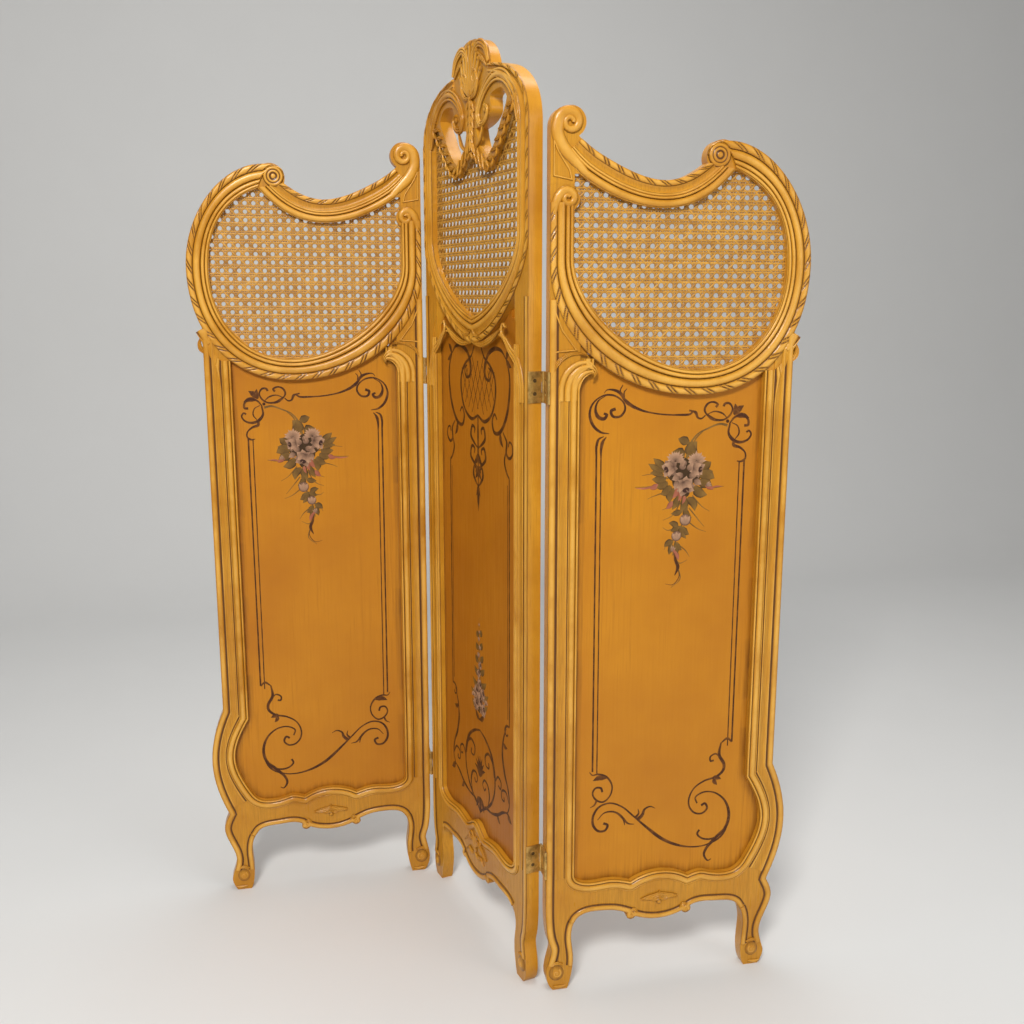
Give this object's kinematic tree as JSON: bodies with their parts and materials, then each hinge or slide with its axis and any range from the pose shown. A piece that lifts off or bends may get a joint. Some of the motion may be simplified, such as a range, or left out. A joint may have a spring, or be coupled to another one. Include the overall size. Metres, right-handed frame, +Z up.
{
  "type": "folding screen",
  "caption": "Free-standing folding screen with carved wood leaves, woven cane tops, painted lower panels and double-action brass hinges.",
  "frame": {"origin": "middle of the whole opened screen's plan, on the floor", "axes": "+Z up, the two side leaves lie along X with their carved fronts towards -Y, and the centre leaf runs between them from back left to front right"},
  "size_m": [1.169, 0.5634, 1.864],
  "materials": {
    "frame_wood": "honey gold glaze over carved wood",
    "painted_panel": "amber glaze with painted scrollwork",
    "cane": "woven natural cane",
    "cane_reed": "natural reed",
    "pegs": "waxed wood end grain",
    "brass_plates": "aged brass",
    "brass_screws": "aged brass",
    "steel_pins": "plain steel"
  },
  "bodies": {
    "centre_leaf": {"centre_apron_ornament": "frame_wood", "centre_bottom_rail": "frame_wood", "centre_cane_panel": "cane", "centre_cane_spline": "cane_reed", "centre_cane_surround": "frame_wood", "centre_cresting": "frame_wood", "centre_hinge_screws": "brass_screws", "centre_left_stile": "frame_wood", "centre_painted_panel": "painted_panel", "centre_panel_moulding": "frame_wood", "centre_pegs": "pegs", "centre_rear_bead": "frame_wood", "centre_right_stile": "frame_wood", "left_lower_hinge_centre_plate": "brass_plates", "left_upper_hinge_centre_plate": "brass_plates", "right_lower_hinge_centre_plate": "brass_plates", "right_upper_hinge_centre_plate": "brass_plates"},
    "left_links": {"left_lower_hinge_link_plate": "brass_plates", "left_lower_hinge_pins": "steel_pins", "left_upper_hinge_link_plate": "brass_plates", "left_upper_hinge_pins": "steel_pins"},
    "left_leaf": {"left_apron_ornament": "frame_wood", "left_bottom_rail": "frame_wood", "left_cane_panel": "cane", "left_cane_ring": "frame_wood", "left_cane_spline": "cane_reed", "left_hinge_screws": "brass_screws", "left_hinge_stile": "frame_wood", "left_lower_hinge_leaf_plate": "brass_plates", "left_outer_stile": "frame_wood", "left_painted_panel": "painted_panel", "left_panel_moulding": "frame_wood", "left_pegs": "pegs", "left_rear_bead": "frame_wood", "left_rosette": "frame_wood", "left_top_rail": "frame_wood", "left_upper_hinge_leaf_plate": "brass_plates"},
    "right_links": {"right_lower_hinge_link_plate": "brass_plates", "right_lower_hinge_pins": "steel_pins", "right_upper_hinge_link_plate": "brass_plates", "right_upper_hinge_pins": "steel_pins"},
    "right_leaf": {"right_apron_ornament": "frame_wood", "right_bottom_rail": "frame_wood", "right_cane_panel": "cane", "right_cane_ring": "frame_wood", "right_cane_spline": "cane_reed", "right_hinge_screws": "brass_screws", "right_hinge_stile": "frame_wood", "right_lower_hinge_leaf_plate": "brass_plates", "right_outer_stile": "frame_wood", "right_painted_panel": "painted_panel", "right_panel_moulding": "frame_wood", "right_pegs": "pegs", "right_rear_bead": "frame_wood", "right_rosette": "frame_wood", "right_top_rail": "frame_wood", "right_upper_hinge_leaf_plate": "brass_plates"}
  },
  "joints": [
    {"name": "left_front_pin", "type": "hinge", "parent": "centre_leaf", "child": "left_links", "pos_m": [-0.07687, 0.24454, 0], "axis": [0, 0, 1], "range_deg": [-76.4, 103.5]},
    {"name": "left_back_pin", "type": "hinge", "parent": "left_links", "child": "left_leaf", "pos_m": [-0.07877, 0.27914, 0], "axis": [0, 0, 1], "range_deg": [-90, 0]},
    {"name": "right_back_pin", "type": "hinge", "parent": "centre_leaf", "child": "right_links", "pos_m": [0.07687, -0.24454, 0], "axis": [0, 0, 1], "range_deg": [-76.4, 103.5]},
    {"name": "right_front_pin", "type": "hinge", "parent": "right_links", "child": "right_leaf", "pos_m": [0.07877, -0.27914, 0], "axis": [0, 0, 1], "range_deg": [-90, 0]}
  ]
}
